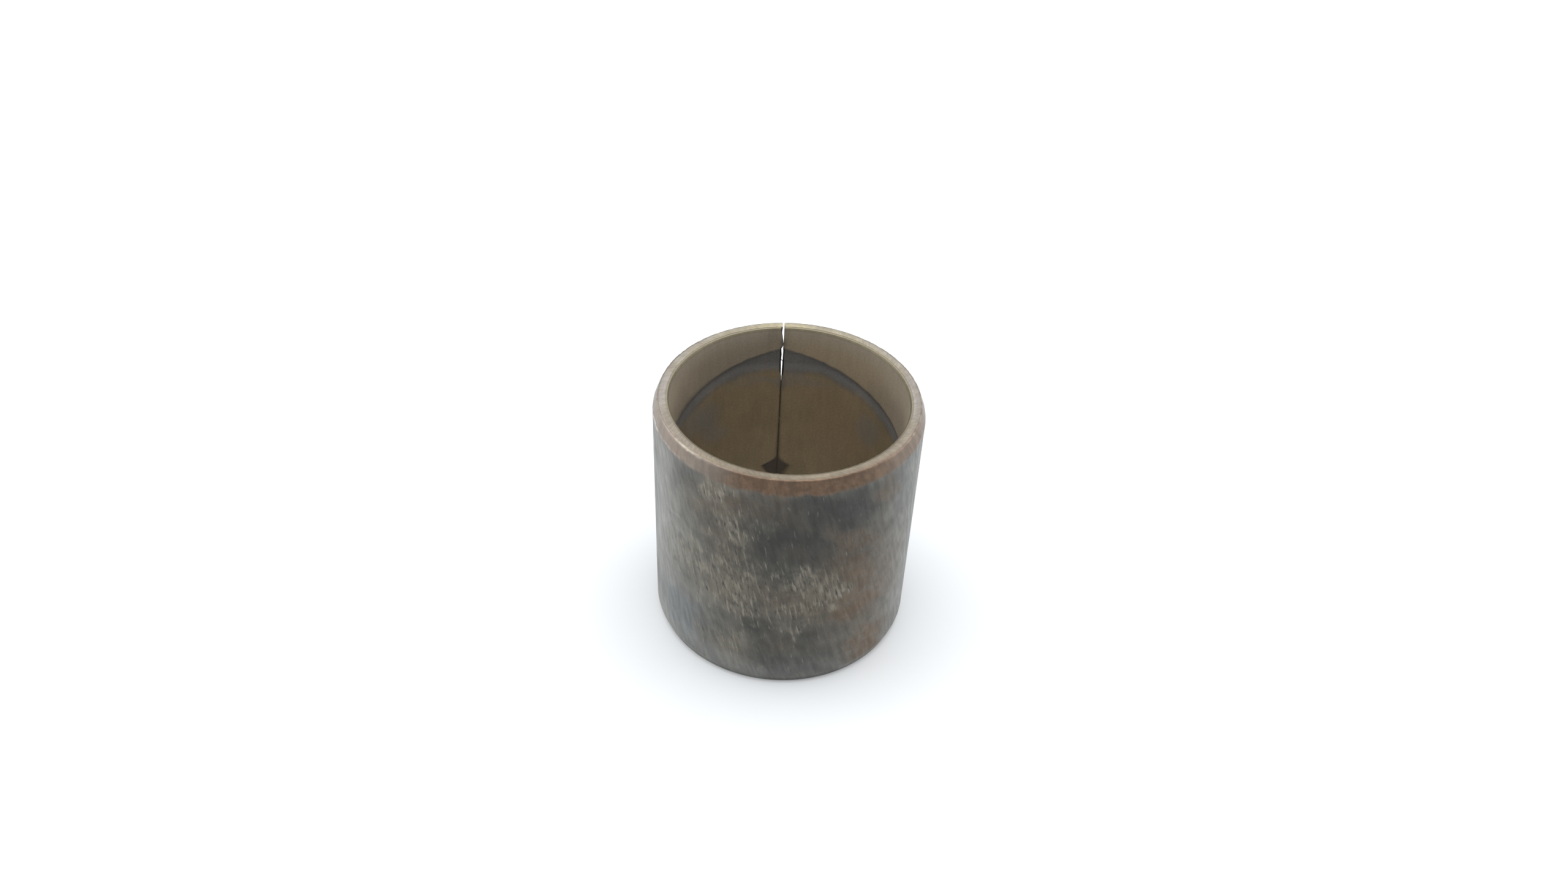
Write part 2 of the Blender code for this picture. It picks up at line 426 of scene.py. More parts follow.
PALE_OXIDE = (
    (247, 12.0, 3.0, 16.0, 0, 0.85),
    (236, 1.8, 6.0, 1.6, 0, 0.50),
    (116, 5.0, 3.4, 7.0, 0, 0.35),
    (184, 2.0, 10.0, 2.2, 0, 0.30),
    (251, 7.0, 1.8, 6.0, 0, 0.30),
    (238, 3.4, 3.0, 2.6, 0, 0.35),
    (122, 9.5, 3.0, 6.0, 0, 0.25),
    (241, 16.9, 0.22, 2.1, 80, 0.95),
    (250, 17.6, 0.20, 1.0, 78, 0.8),
    (241, 7.1, 0.20, 1.5, 93, 0.8),
    (254, 9.2, 0.25, 1.3, 101, 0.6),
    (237, 15.4, 0.20, 1.6, 62, 0.7),
    (230, 14.8, 0.20, 1.4, 50, 0.7),
    (246, 13.6, 0.22, 1.4, 84, 0.5),
    (248, 20.0, 0.25, 1.6, 35, 0.6),
    (231, 3.6, 0.16, 0.9, 40, 0.6),
)
# Painted shade: where the oxide is painted darker, broadest across the front
OXIDE_PAINTED_SHADE = (
    (184, 15.0, 7.6, 9.6, 0, 1.0),
    (146, 16.0, 2.4, 1.8, 0, 0.8),
    (212, 5.5, 3.0, 2.6, 0, 0.6),
    (216, 13.0, 2.4, 2.6, 0, 0.4),
)
BLUE_OXIDE = (
    (238, 4.4, 3.4, 3.2, 0, 0.9),
    (226, 6.0, 2.0, 2.2, 20, 0.7),
    (126, 20.5, 1.6, 3.6, 0, 0.5),
    (178, 1.9, 4.5, 0.9, 0, 0.5),
    (220, 2.2, 3.2, 1.4, 0, 0.4),
)
BROWN_OXIDE = (
    (153, 12.5, 2.6, 4.2, 10, 0.70),
    (159, 13.0, 3.4, 4.6, 10, 0.55),
    (177, 20.8, 0.9, 2.2, 12, 0.40),
    (150, 8.8, 3.2, 1.9, 0, 0.9),
    (141, 3.2, 3.2, 2.4, -20, 0.95),
    (154, 17.6, 3.0, 1.1, -25, 0.65),
    (139, 22.0, 1.0, 1.8, 10, 0.7),
    (205, 21.6, 4.4, 1.9, 10, 0.65),
    (207, 16.6, 2.2, 2.4, 15, 0.55),
    (185, 21.4, 1.0, 1.6, 10, 0.5),
    (164, 18.8, 1.1, 2.4, 15, 0.4),
    (203, 12.4, 3.4, 2.4, 0, 0.55),
    (178, 11.0, 4.6, 1.8, 0, 0.6),
    (164, 11.5, 3.4, 3.0, 0, 0.50),
    (180, 17.0, 1.6, 1.4, 0, 0.3),
    (131, 10.0, 2.4, 4.0, 0, 0.35),
    (185, 5.4, 1.6, 1.4, 0, 0.4),
    (203, 4.0, 2.0, 1.4, 0, 0.3),
)
BROWN_VEIL = (
    (168, 13.0, 8.0, 9.0, 0, 0.40),
    (204, 20.5, 4.5, 3.5, 0, 0.30),
)
SCUFFED = (
    (218, 22.1, 0.9, 1.2, 15, 1.0),
    (210, 22.3, 0.9, 1.9, 12, 1.0),
    (206, 18.6, 1.3, 2.1, 28, 1.0),
    (195, 20.6, 0.8, 1.8, 18, 0.55),
    (224, 19.3, 0.5, 0.9, 20, 0.5),
    (222, 14.6, 2.4, 2.2, 35, 0.6),
    (201, 12.3, 3.4, 2.2, 30, 0.9),
    (176, 14.2, 1.5, 1.5, 18, 0.75),
    (164, 11.9, 2.0, 1.9, 18, 0.85),
    (181, 9.9, 3.2, 1.1, 5, 0.85),
    (181, 12.4, 1.0, 1.3, 14, 0.7),
    (222, 8.9, 1.2, 1.2, 20, 0.85),
    (199, 8.8, 1.2, 1.6, 20, 0.7),
    (180, 7.8, 2.2, 1.0, 5, 0.6),
    (166, 9.2, 1.8, 0.8, 10, 0.4),
    (179.5, 5.5, 0.6, 1.0, 15, 0.85),
    (206, 4.2, 1.9, 1.6, 25, 0.7),
    (194.3, 1.7, 0.25, 0.35, 0, 0.95),
    (219, 1.5, 0.9, 0.4, 0, 0.4),
    (164, 2.6, 0.7, 0.5, 0, 0.35),
    (242, 11.4, 2.0, 2.0, 30, 0.5),
    (239, 16.9, 1.5, 0.5, 75, 0.5),
    (250, 21.0, 0.7, 2.2, 30, 0.5),
    (252, 6.0, 0.8, 2.6, 20, 0.4),
    (248, 8.2, 2.0, 0.7, 60, 0.45),
    (229, 12.4, 2.2, 1.7, 30, 0.65),
    (236, 19.0, 1.6, 3.0, 25, 0.3),
    (212, 14.6, 2.0, 1.8, 25, 0.6),
    (212, 11.6, 2.2, 2.0, 25, 0.55),
    (226, 12.6, 1.6, 2.4, 30, 0.45),
    (205, 9.8, 2.0, 1.8, 20, 0.6),
    (171, 13.0, 1.4, 2.4, 18, 0.75),
    (161, 10.6, 1.2, 1.6, 15, 0.7),
    (198, 15.0, 1.4, 1.2, 20, 0.5),
    (219, 5.0, 1.6, 1.8, 20, 0.4),
    (233, 14.4, 1.8, 1.6, 40, 0.4),
)
RUSTY_CHAMFER = (
    (116, 24.3, 3.4, 2.0, 0, 0.9),
)
RUBBED_CHAMFER = (
    (220, 24.3, 2.6, 2.0, 0, 0.5),
    (282, 24.3, 3.0, 2.0, 0, 0.9),
)
# Bright ridge at the top's outer corner: worn bare metal, with a painted highlight
RIDGE_WEAR_AND_HIGHLIGHT = (
    (231, 25.0, 1.7, 2.0, 0, 0.80),
    (268, 25.0, 4.4, 2.0, 0, 0.45),
    (96, 25.0, 5.5, 2.0, 0, 0.50),
)
GOLDEN_FACE = (
    (0, 25.0, 3.6, 9.0, 0, 0.95),
    (28, 25.0, 3.0, 9.0, 0, 0.55),
    (-24, 25.0, 3.0, 9.0, 0, 0.45),
    (55, 25.0, 4.0, 9.0, 0, 0.3),
    (-50, 25.0, 4.0, 9.0, 0, 0.25),
)

# Grey below the groove: the groove's grey fading out, and on the left a grey painted shade
GREY_FADE_AND_SHADE = (
    (-47, 16.4, 2.8, 2.2, 25, 0.75),
    (-39, 14.0, 1.6, 1.6, 20, 0.5),
    (-62, 17.8, 1.6, 1.2, 25, 0.4),
    (52, 15.6, 2.0, 1.8, -30, 0.5),
    (0, 19.0, 5.6, 0.8, 0, 0.50),
)

# Where the bronze is warmer, and where it is wiped beside the seam
WARM_BRONZE = (
    (30, 13.0, 5.0, 4.0, 0, 0.8),
    (24, 18.0, 4.0, 2.0, 0, 0.5),
)
SEAM_SMEAR = (
    (0.2, 23.2, 0.45, 0.65, 0, 0.9),
    (0.3, 18.5, 0.5, 1.0, 0, 0.8),
)

# Painted shade: where the bronze is painted darker, beside the groove and by the seam's top
BRONZE_PAINTED_SHADE = (
    (70, 19.3, 5.2, 3.4, 0, 1.0),
    (-68, 19.0, 3.4, 3.0, 0, 0.75),
    (-4, 24.0, 1.6, 1.6, 0, 0.8),
)

# Each piece's material slots, in order
STEEL_PART, FACE_PART, HIDDEN_PART = range(3)
BRONZE_PART, LIP_PART, RAW_PART = range(3)


def build_shell():
    corners = [
        (TOP_FACE_RADIUS, LENGTH, 0.14 * MM, 0.11 * MM, STEEL_PART),
        (OUTER_RADIUS, LENGTH - TOP_CHAMFER, 0.12 * MM, 0.17 * MM, STEEL_PART),
        (OUTER_RADIUS, BOTTOM_CHAMFER, 0.12 * MM, 0.13 * MM, STEEL_PART),
        (BOTTOM_FACE_RADIUS, 0.0, 0.04 * MM, 0.20 * MM, FACE_PART),
        (SHELL_INNER_RADIUS, 0.0, 0.0, 1.5 * MM, HIDDEN_PART),
        (SHELL_INNER_RADIUS, OPEN_FROM, 0.0, 0.16 * MM, HIDDEN_PART),
        (SHELL_INNER_RADIUS, OPEN_TO, 0.0, 0.50 * MM, HIDDEN_PART),
        (SHELL_INNER_RADIUS, LENGTH - 0.10 * MM, 0.0, 0.05 * MM, FACE_PART),
        (SHELL_INNER_RADIUS, LENGTH, 0.02 * MM, 0.11 * MM, FACE_PART),
    ]
    chamfer_foot = LENGTH - TOP_CHAMFER

    def shape(angle, radius, height):
        level = np.zeros_like(height)
        outside = smoothstep(SHELL_INNER_RADIUS, TOP_FACE_RADIUS, radius)
        radius = radius - outside * ROLLED_WAVE * (1.0 + ripples(angle, level, 11, 9 * MM))
        skin = smoothstep(0.0, SKIN_FADE, height) * smoothstep(0.0, SKIN_FADE, LENGTH - height)
        radius = radius - outside * skin * SKIN_DENT * np.abs(ripples(angle, height, 12, 1.2 * MM))
        foot = bell(height - chamfer_foot, FOOT_REACH)
        height = height + foot * outside * FOOT_WAVE * ripples(angle, level, 13, 0.8 * MM, 30)
        rim = bell(radius - TOP_FACE_RADIUS, NICK_REACH) * (height > LENGTH - 0.2 * MM)
        nick = np.maximum(ripples(angle, level, 14, 0.35 * MM, 40), 0.0)
        return radius - rim * NICK_DENT * nick, height - rim * NICK_DROP * nick

    piece, angle, radius, height = sleeve(
        "steel_shell", corners, SHELL_SEAM, SHELL_COLUMNS, HIDDEN_PART, shape
    )
    level = np.zeros_like(height)
    ragged = 0.08 * MM * ripples(angle, height, 21, 0.9 * MM, 30)
    chamfer = smoothstep(-0.30 * MM, 0.10 * MM, height + ragged - chamfer_foot)
    # Painted highlight: a pale line along the chamfer's foot, on the left side
    foot_highlight = bell(height - chamfer_foot - FOOT_HIGHLIGHT_RISE, FOOT_HIGHLIGHT_WIDTH)
    foot_highlight = foot_highlight * bell(wrapped(angle - FOOT_HIGHLIGHT_ANGLE), FOOT_HIGHLIGHT_SPREAD)
    rear = scattered(31, 10, -90, 100, (1.5, 4.5), (-10, 25), (0.5, 0.9))
    dark = spots(angle, height, DARK_OXIDE + rear, 41, 0.5)
    rear = scattered(32, 4, -75, 100, (1.5, 3.5), (-10, 25), (0.4, 0.8))
    blue = spots(angle, height, BLUE_OXIDE + rear, 43, 0.5)
    rear = scattered(35, 5, -80, 95, (1.5, 4.0), (-10, 25), (0.3, 0.7))
    pale = spots(angle, height, PALE_OXIDE + rear, 51, 0.3)
    rear = scattered(33, 9, -80, 105, (1.0, 2.8), (-10, 25), (0.3, 0.8))
    rust = spots(angle, height, BROWN_OXIDE + rear, 45, 0.5)
    brown = 1.0 - (1.0 - rust) * (1.0 - spots(angle, height, BROWN_VEIL, 45, 0.5))
    rear = scattered(34, 22, -95, 105, (0.5, 2.0), (5, 30), (0.4, 0.9))
    scuffed = spots(angle, height, SCUFFED + rear, 47, 0.8, 1.6, 1.0)
    # Painted light: the shell's lower end is painted lighter, fading out upward
    set_attribute(piece, "low", smoothstep(LOW_PAINTED_LIGHT_TOP, LOW_PAINTED_LIGHT_BOTTOM, height))
    set_attribute(piece, "chamfer", chamfer)
    set_attribute(piece, "foot_highlight", foot_highlight)
    set_attribute(piece, "dark", dark)
    set_attribute(piece, "painted_shade", spots(angle, height, OXIDE_PAINTED_SHADE, 59, 0.5))
    set_attribute(piece, "blue", blue)
    set_attribute(piece, "pale", pale)
    set_attribute(piece, "brown", brown)
    set_attribute(piece, "rust", rust)
    set_attribute(piece, "scuffed", scuffed)
    facing = -np.cos(angle)
    set_attribute(piece, "rusty", spots(angle, height, RUSTY_CHAMFER, 53, 0.4))
    set_attribute(piece, "rubbed", spots(angle, height, RUBBED_CHAMFER, 53, 0.4))
    # Painted sheen: the chamfer is painted lighter toward the sides
    set_attribute(piece, "side", 1.0 - smoothstep(0.35, 0.95, np.abs(facing)))
    # Painted shade on the ends, strongest at the front
    set_attribute(piece, "front_shade", smoothstep(-0.1, 0.9, facing))
    # The ridge's bright colour is partly real wear and partly a painted highlight
    ridge_wear_and_highlight = bell(radius - TOP_FACE_RADIUS + 0.04 * MM, 0.07 * MM) * (height > LENGTH - 0.3 * MM)
    broken = smoothstep(-0.6, 0.5, ripples(angle, level, 57, 0.5 * MM, 30))
    set_attribute(piece, "ridge_wear_and_highlight", ridge_wear_and_highlight * broken * spots(angle, height, RIDGE_WEAR_AND_HIGHLIGHT, 55, 0.2))
    edge = smoothstep(TOP_FACE_RADIUS - 0.17 * MM, TOP_FACE_RADIUS - 0.10 * MM, radius)
    set_attribute(piece, "edge", edge * smoothstep(-0.15, -0.55, facing) * (height > LENGTH / 2))
    # Painted shade: the face is painted darker toward its outer edge at the front
    set_attribute(piece, "outer_face_shade", smoothstep(11.55 * MM, 12.1 * MM, radius) * smoothstep(0.45, 1.0, facing))
    set_attribute(piece, "golden", spots(angle, height, GOLDEN_FACE, 49, 0.5))
    return piece


GROOVE_TOP = LENGTH - GROOVE_END_INSET
GROOVE_FALL = LENGTH - 2 * GROOVE_END_INSET
GROOVE_LEAN = math.cos(math.atan(GROOVE_FALL / (TURN * BORE_RADIUS)))
MIDDLE = LENGTH / 2


def groove_bands(angle, height):
    """How far inside each edge of the nearest groove band a point is, beyond the band where negative.

    Both hands of the figure eight mirror at mid height. The outer edge faces the sleeve's nearer end.
    Over the seam the inner edge stays level, along the link, so the bands widen to the apex there.
    """
    turn = np.abs(wrapped(angle)) / TURN
    crest = GROOVE_TOP - GROOVE_FALL * turn - MIDDLE
    from_middle = np.abs(height - MIDDLE)
    half = GROOVE_WIDTH / 2 / GROOVE_LEAN
    outer = crest + half - from_middle
    link = MIDDLE - LINK_INSET - GROOVE_WIDTH / 2
    lower_line = np.minimum(crest - half, link - 0.15 * np.maximum(crest - half - link, 0.0))
    inner = from_middle - lower_line
    return outer * GROOVE_LEAN, inner * GROOVE_LEAN


def oil_groove_depth(angle, height):
    """Depth of the figure-eight groove: round-bottomed, with a steep outer edge and a soft inner one."""
    outer, inner = groove_bands(angle, height)
    steep = smoothstep(-0.05 * MM, 0.50 * MM, outer)
    soft = smoothstep(0.0, 1.10 * MM, inner)
    return GROOVE_DEPTH * steep * soft


def pocket_inside(angle, height):
    """How far inside the pocket a point is: 0 at its outline, which flares from a point on the seam."""
    across = wrapped(angle) * BORE_RADIUS
    across = np.where(across < 0, -across / POCKET_LEFT, across / POCKET_RIGHT)
    upper = np.clip((POCKET_TOP - height) / (POCKET_TOP - POCKET_MIDDLE), 0.0, 1.0) ** 2.8
    lower = np.clip((height - POCKET_BOTTOM) / (POCKET_MIDDLE - POCKET_BOTTOM), 0.0, 1.0)
    return np.minimum(upper, lower) - across


def build_lining():
    edge_radius = BORE_RADIUS + EDGE_BREAK_WIDTH
    corners = [
        (LINING_OUTER_RADIUS, LINING_TOP, 0.0, 6.0 * MM, RAW_PART),
        (LINING_OUTER_RADIUS, LINING_BOTTOM, 0.0, 0.1 * MM, LIP_PART),
        (edge_radius, LINING_BOTTOM, 0.03 * MM, 0.05 * MM, LIP_PART),
        (BORE_RADIUS, LINING_BOTTOM + EDGE_BREAK_HEIGHT, 0.04 * MM, 0.125 * MM, BRONZE_PART),
        (BORE_RADIUS, OPEN_FROM, 0.0, 0.08 * MM, BRONZE_PART),
        (BORE_RADIUS, OPEN_TO, 0.0, 0.125 * MM, BRONZE_PART),
        (BORE_RADIUS, LINING_TOP - EDGE_BREAK_HEIGHT, 0.04 * MM, 0.05 * MM, BRONZE_PART),
        (edge_radius, LINING_TOP, 0.03 * MM, 0.05 * MM, LIP_PART),
    ]

    def shape(angle, radius, height):
        bore = 1.0 - smoothstep(BORE_RADIUS + 0.02 * MM, edge_radius, radius)
        pocket = POCKET_DEPTH * smoothstep(-0.1, 0.4, pocket_inside(angle, height))
        depth = np.maximum(oil_groove_depth(angle, height), pocket)
        reach = np.abs(wrapped(angle)) * BORE_RADIUS
        rolled = ROLLED_EDGE * (1.0 - smoothstep(0.0, ROLLED_WIDTH, reach - 0.02 * MM))
        closed = 1.0 - smoothstep(OPEN_FROM, OPEN_FROM + 0.6 * MM, height)
        depth = np.maximum(depth, rolled * closed)
        near_rim = bell(height - LINING_TOP, BEAD_REACH)
        near_rim = near_rim * (1.0 - smoothstep(edge_radius, edge_radius + 0.10 * MM, radius))
        beads = 1.0 + ripples(angle, np.zeros_like(height), 61, 0.30 * MM, 40)
        radius = radius + bore * depth + near_rim * BEAD * beads
        return radius, height

    piece, angle, radius, height = sleeve(
        "bronze_liner", corners, LINING_SEAM, LINING_COLUMNS, RAW_PART, shape
    )
    outer, inner = groove_bands(angle, height)
    wander = STAIN_WANDER * ripples(angle, height, 63, 0.7 * MM)
    drift = STAIN_DRIFT * ripples(angle, height, 65, 2.5 * MM)
    side = wrapped(angle)
    reach = np.abs(side) * BORE_RADIUS
    stain = STAIN_SPREAD * bell(side + 1.18, 0.40)
    blur = STAIN_BLUR * smoothstep(-0.35, -0.95, side)
    edge_low = STAIN_OUTSIDE - stain - blur
    edge_high = STAIN_INSIDE - 0.4 * stain + blur
    upper = smoothstep(edge_high, edge_low, outer + wander)
    groove = smoothstep(edge_low, edge_high, outer + wander)
    groove = groove * smoothstep(-STAIN_FOOT_FADE, STAIN_FOOT_RISE, inner + drift + wander)
    fade = 0.10 + 0.25 * smoothstep(-0.2 * MM, 0.6 * MM, side * BORE_RADIUS)
    pocket = smoothstep(-fade, fade, pocket_inside(angle, height) + 0.25 * drift / MM - 0.05)
    closed = 1.0 - smoothstep(17.5 * MM, 19.6 * MM, height)
    deep = 1.0 - smoothstep(9.0 * MM, 15.0 * MM, height)
    # Dark line along the seam: dirt in the closed joint, and painted shade of the open seam's walls, wider
    # deeper in the bore
    seam_dirt_and_shade = bell(reach, (0.09 + 0.10 * deep) * MM) * (0.35 + 0.55 * closed)
    inward = 1.0 - smoothstep(edge_radius + 0.01 * MM, edge_radius + 0.06 * MM, radius)
    # Painted shade: the bevel at the bore's top edge is painted dark
    bevel_shade = smoothstep(LINING_TOP - 0.26 * MM, LINING_TOP - 0.10 * MM, height) * inward
    set_attribute(piece, "flank", smoothstep(0.72, 1.35, np.abs(side)))
    set_attribute(piece, "grey_fade_and_shade", spots(angle, height, GREY_FADE_AND_SHADE, 69, 0.4))
    set_attribute(piece, "painted_shade", spots(angle, height, BRONZE_PAINTED_SHADE, 71, 0.4))
    set_attribute(piece, "right", smoothstep(-0.30, 0.30, np.sin(angle)))
    set_attribute(piece, "groove", groove)
    set_attribute(piece, "upper", upper)
    set_attribute(piece, "pocket", pocket)
    set_attribute(piece, "seam_dirt_and_shade", seam_dirt_and_shade)
    set_attribute(piece, "smear", spots(angle, height, SEAM_SMEAR))
    set_attribute(piece, "warm", spots(angle, height, WARM_BRONZE, 67, 0.8, 4.0))
    set_attribute(piece, "high", smoothstep(22.5 * MM, 25.0 * MM, height) * upper)
    set_attribute(piece, "bevel_shade", bevel_shade)
    # Painted shade on the lining's end, strongest at the front
    set_attribute(piece, "front_shade", smoothstep(-0.1, 0.9, -np.cos(angle)))
    set_attribute(piece, "golden", spots(angle, height, GOLDEN_FACE, 49, 0.5))
    add_burr(piece, SLIT_BURR, RAW_PART)
    add_burr(piece, RIM_BURR, LIP_PART)
    add_burr(piece, UPPER_CURL, LIP_PART)
    add_burr(piece, LOWER_CURL, LIP_PART)
    return piece


# ---------------------------------------------------------------- materials
# Base colours, linear. Two under one name are mixed by noise; the others are laid over them.
OXIDE = (0.106, 0.104, 0.093), (0.143, 0.140, 0.124)
OXIDE_PALE = (0.228, 0.225, 0.211)
OXIDE_BLUE = (0.143, 0.151, 0.155)
OXIDE_BROWN = (0.124, 0.083, 0.051)
OXIDE_DARK = (0.045, 0.045, 0.042)
SCUFF_HAZE = (0.166, 0.154, 0.124)
SCUFF_STROKE = (0.240, 0.220, 0.178)
SCUFF_CUT = (0.046, 0.042, 0.037)
CHAMFER_BROWN = (0.106, 0.071, 0.049), (0.152, 0.100, 0.066)
CHAMFER_SIDE_SHEEN = (0.237, 0.198, 0.166)
CHAMFER_RUBBED = (0.211, 0.195, 0.173)
CHAMFER_RUSTY = (0.179, 0.134, 0.100)
CHAMFER_FOOT_HIGHLIGHT = (0.589, 0.576, 0.550)
CHAMFER_RIDGE_WEAR_AND_HIGHLIGHT = (0.42, 0.385, 0.32)
EDGE_SHADOW = (0.095, 0.088, 0.066)
FACE = (0.33, 0.29, 0.245), (0.36, 0.33, 0.30)
FACE_FRONT_SHADE = (0.257, 0.217, 0.164)
FACE_GOLDEN = (0.45, 0.40, 0.272)
FACE_RIDGE_WEAR_AND_HIGHLIGHT = (0.46, 0.42, 0.345)
FACE_OUTER_SHADE = (0.160, 0.122, 0.088)
SHEARED_STEEL = (0.022, 0.020, 0.018), (0.042, 0.038, 0.034)
BRONZE = (0.270, 0.212, 0.128), (0.302, 0.233, 0.143)
BRONZE_WARM = (0.310, 0.227, 0.142)
BRONZE_UPPER_LEFT, BRONZE_UPPER_RIGHT = (0.305, 0.262, 0.200), (0.365, 0.298, 0.208)
BRONZE_FLANK = (0.410, 0.350, 0.272)
BRONZE_GREY_FADE_AND_SHADE = (0.232, 0.222, 0.206)
BRONZE_HIGH = (0.375, 0.330, 0.262)
BRONZE_BEVEL_SHADE = (0.125, 0.105, 0.066)
GROOVE_GREY = (0.156, 0.153, 0.150), (0.179, 0.175, 0.170)
GROOVE_FLANK = (0.200, 0.192, 0.181)
POCKET_BROWN = (0.090, 0.071, 0.058)
SMEAR_GREY = (0.185, 0.168, 0.148)
SEAM_DIRT_AND_SHADE = (0.085, 0.068, 0.045)
LIP = (0.255, 0.225, 0.163), (0.317, 0.282, 0.211)
LIP_FRONT_SHADE = (0.134, 0.113, 0.081)
LIP_GOLDEN = (0.328, 0.292, 0.206)
LIP_BEVEL_SHADE = (0.150, 0.128, 0.082)
SHEARED_BRONZE = (0.035, 0.03, 0.022), (0.07, 0.058, 0.042)

# How deep the grain in every bump is
RELIEF = 0.02 * MM


class Nodes:
    """A small builder for one material's node tree."""

    def __init__(self, name):
        self.material = bpy.data.materials.new(name)
        self.material.use_nodes = True
        self.tree = self.material.node_tree
        self.shader = self.tree.nodes["Principled BSDF"]

    def add(self, kind, **settings):
        node = self.tree.nodes.new(kind)
        for key, value in settings.items():
            setattr(node, key, value)
        return node

    def feed(self, socket, value):
        if isinstance(value, bpy.types.NodeSocket):
            self.tree.links.new(value, socket)
        elif isinstance(value, tuple) and len(value) == 3 and socket.type == "RGBA":
            socket.default_value = (*value, 1.0)
        else:
            socket.default_value = value

    def math(self, operation, first, second=0.0):
        node = self.add("ShaderNodeMath", operation=operation)
        self.feed(node.inputs[0], first)
        self.feed(node.inputs[1], second)
        return node.outputs[0]

    def attribute(self, name):
        return self.add("ShaderNodeAttribute", attribute_name=name).outputs["Fac"]

    def mix(self, factor, first, second, blend="MIX"):
        node = self.add("ShaderNodeMix", data_type="RGBA", blend_type=blend)
        self.feed(node.inputs[0], factor)
        self.feed(node.inputs[6], first)
        self.feed(node.inputs[7], second)
        return node.outputs[2]

    def range(self, value, low, high, to_low=0.0, to_high=1.0):
        node = self.add("ShaderNodeMapRange", interpolation_type="SMOOTHSTEP")
        for index, number in enumerate((value, low, high, to_low, to_high)):
            self.feed(node.inputs[index], number)
        return node.outputs[0]

    def tint(self, color, name, tinted):
        """Mix toward a colour where the piece's attribute of that name is high."""
        return self.mix(self.attribute(name), color, tinted)

    def shade(self, color, value, low, high, to_low, to_high):
        """Multiply a colour by a value mapped to a narrow range about 1."""
        return self.mix(1.0, color, self.range(value, low, high, to_low, to_high), "MULTIPLY")

    def around_and_parts(self):
        """The angle from the side that faces the camera, and the node that splits the place into X, Y, Z."""
        position = self.add("ShaderNodeTexCoord").outputs["Object"]
        parts = self.add("ShaderNodeSeparateXYZ")
        self.feed(parts.inputs[0], position)
        toward = self.math("MULTIPLY", parts.outputs[1], -1.0)
        return self.math("ARCTAN2", parts.outputs[0], toward), parts

    def strip(self):
        """Vector of millimetres round the sleeve (to the right, seen from outside) and up it."""
        angle, parts = self.around_and_parts()
        vector = self.add("ShaderNodeCombineXYZ")
        self.feed(vector.inputs[0], self.math("MULTIPLY", angle, OUTER_RADIUS / MM))
        self.feed(vector.inputs[1], self.math("MULTIPLY", parts.outputs[2], 1.0 / MM))
        return vector.outputs[0]

    def polar(self):
        """Vector of millimetres round the end face, at mid wall, and out from the axis."""
        angle, parts = self.around_and_parts()
        squares = self.math("ADD", self.math("POWER", parts.outputs[0], 2.0),
                            self.math("POWER", parts.outputs[1], 2.0))
        vector = self.add("ShaderNodeCombineXYZ")
        self.feed(vector.inputs[0], self.math("MULTIPLY", angle, (OUTER_RADIUS + BORE_RADIUS) / 2 / MM))
        self.feed(vector.inputs[1], self.math("MULTIPLY", self.math("SQRT", squares), 1.0 / MM))
        return vector.outputs[0]

    def stretch(self, vector, scale):
        node = self.add("ShaderNodeVectorMath", operation="MULTIPLY")
        self.feed(node.inputs[0], vector)
        self.feed(node.inputs[1], (scale[0], scale[1], 1.0))
        return node.outputs[0]

    def lean(self, vector, degrees, scale):
        """Turn a strip vector, which leans the marks left at their top where degrees is negative."""
        turned = self.add("ShaderNodeVectorRotate", rotation_type="Z_AXIS")
        self.feed(turned.inputs["Vector"], vector)
        self.feed(turned.inputs["Angle"], math.radians(degrees))
        return self.stretch(turned.outputs[0], scale)

    def noise(self, vector, scale, detail=2.0, roughness=0.5, distortion=0.0):
        node = self.add("ShaderNodeTexNoise", noise_dimensions="2D")
        self.feed(node.inputs["Vector"], vector)
        self.feed(node.inputs["Scale"], scale)
        self.feed(node.inputs["Detail"], detail)
        self.feed(node.inputs["Roughness"], roughness)
        self.feed(node.inputs["Distortion"], distortion)
        return node.outputs["Fac"]

    def bump(self, height, strength):
        node = self.add("ShaderNodeBump")
        self.feed(node.inputs["Strength"], strength)
        self.feed(node.inputs["Distance"], RELIEF)
        self.feed(node.inputs["Height"], height)
        self.feed(self.shader.inputs["Normal"], node.outputs[0])

    def finish(self, color, roughness, metallic):
        self.feed(self.shader.inputs["Base Color"], color)
        self.feed(self.shader.inputs["Roughness"], roughness)
        self.feed(self.shader.inputs["Metallic"], metallic)
        return self.material


